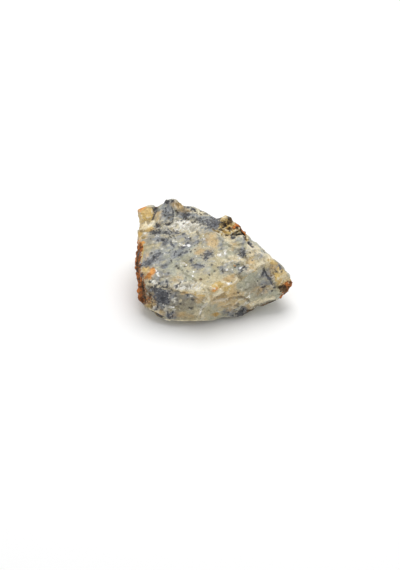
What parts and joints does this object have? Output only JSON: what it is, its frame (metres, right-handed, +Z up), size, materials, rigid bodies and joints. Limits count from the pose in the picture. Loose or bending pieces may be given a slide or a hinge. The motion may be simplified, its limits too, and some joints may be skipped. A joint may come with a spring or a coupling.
{
  "type": "rough dendritic opal stone",
  "caption": "Rough lump of milky dendritic opal, broken on every side, with a broad sloping fracture face, a raised crest, a pocket and a pointed end.",
  "frame": {"origin": "on the surface the stone rests on, under the centre of its bounding box", "axes": "+Z up, +X towards the pointed end, +Y towards the back, away from the show side"},
  "size_m": [0.0492, 0.0358, 0.0266],
  "materials": {
    "opal": "milky cream to grey-green opal with blue-grey clouds and black dendrite specks, waxy on fresh breaks, with rust and ochre crust"
  },
  "bodies": {
    "root": {"opal_stone": "opal"}
  },
  "joints": []
}
